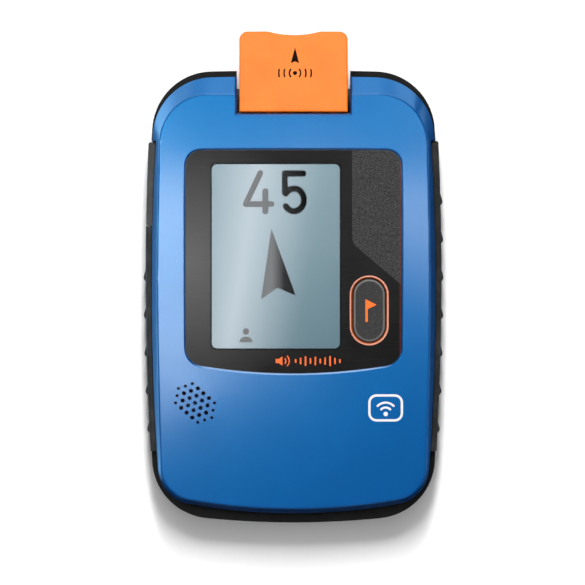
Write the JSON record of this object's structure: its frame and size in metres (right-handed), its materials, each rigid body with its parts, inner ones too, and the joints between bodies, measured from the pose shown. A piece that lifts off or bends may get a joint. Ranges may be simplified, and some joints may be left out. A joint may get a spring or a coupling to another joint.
{
  "type": "avalanche transceiver",
  "caption": "Handheld avalanche transceiver with a large display, marking button, loudspeaker grille, side grips and a hinged search flap at the top end.",
  "frame": {"origin": "middle of the flat back, where the device rests when it lies on its back", "axes": "+Z out of the display, +Y towards the end with the search flap, +X to the right of the display"},
  "size_m": [0.0794, 0.1302, 0.0265],
  "materials": {
    "blue_cover": "metallic speckle, satin clear coat",
    "black_cover": "fine texture",
    "grip": "matte, soft touch",
    "orange_plastic": "satin",
    "bezel_black": "high gloss",
    "clear_lens": "polished",
    "lcd_grey": "reflective display",
    "light_guide": "clear light guide",
    "white_plastic": "moulded",
    "button_black": "soft touch",
    "silicone": "translucent grey",
    "steel": "turned",
    "magnet": "nickel plate",
    "washer_plastic": "smooth",
    "board_green": "solder mask",
    "chip_black": "moulded",
    "amber_flex": "polyimide",
    "cell_foil": "wrapped foil",
    "foam": "closed-cell foam",
    "ferrite": "sintered",
    "copper_wire": "enamelled",
    "speaker_can": "satin",
    "mesh": "woven",
    "wire_red": "insulation"
  },
  "bodies": {
    "housing": {"rear_cover": "black_cover", "front_cover": "blue_cover", "housing_gasket": "silicone", "housing_screws": "steel", "lanyard_bar": "steel", "grip_right": "grip", "grip_left": "grip", "port_door_pin": "steel", "flap_pin": "steel", "flap_washers": "washer_plastic", "display_bezel": "bezel_black", "display_lens": "clear_lens", "lcd_panel": "lcd_grey", "lcd_backlight": "light_guide", "display_frame": "white_plastic", "lcd_flex": "amber_flex", "lcd_connector": "white_plastic", "button_ring": "orange_plastic", "button_membrane": "silicone", "button_carrier": "white_plastic", "tact_switch": "chip_black", "speaker": "speaker_can", "speaker_mesh": "mesh", "speaker_contacts": "steel", "main_board": "board_green", "board_screws": "steel", "board_chips": "chip_black", "hall_sensors": "chip_black", "usb_socket": "steel", "battery_cell": "cell_foil", "battery_pad": "foam", "battery_connector": "white_plastic", "battery_leads": "wire_red", "long_antenna_core": "ferrite", "long_antenna_coil": "copper_wire", "cross_antenna_core": "ferrite", "cross_antenna_coil": "copper_wire", "z_antenna_core": "ferrite", "z_antenna_coil": "copper_wire", "antenna_saddles": "white_plastic"},
    "flap": {"search_flap": "orange_plastic", "flap_magnet": "magnet"},
    "door": {"port_door": "grip", "port_seal": "silicone"},
    "button": {"flag_button": "button_black", "switch_plunger": "white_plastic"},
    "slider": {"power_slider": "orange_plastic", "slider_magnet": "magnet"}
  },
  "joints": [
    {"name": "flap_hinge", "type": "hinge", "parent": "housing", "child": "flap", "pos_m": [0, 0.052, 0.0125], "axis": [-1, 0, 0], "range_deg": [0, 180]},
    {"name": "port_door_hinge", "type": "hinge", "parent": "housing", "child": "door", "pos_m": [-0.0379, 0.0202, 0.0115], "axis": [0, 0, 1], "range_deg": [0, 90]},
    {"name": "flag_button_press", "type": "slide", "parent": "housing", "child": "button", "axis": [0, 0, -1], "range_m": [0, 0.0005], "stiffness_N_per_m": 800, "springref_m": -0.001, "deforming": ["button_membrane"]},
    {"name": "power_slide", "type": "slide", "parent": "housing", "child": "slider", "axis": [1, 0, 0], "range_m": [0, 0.005]}
  ]
}
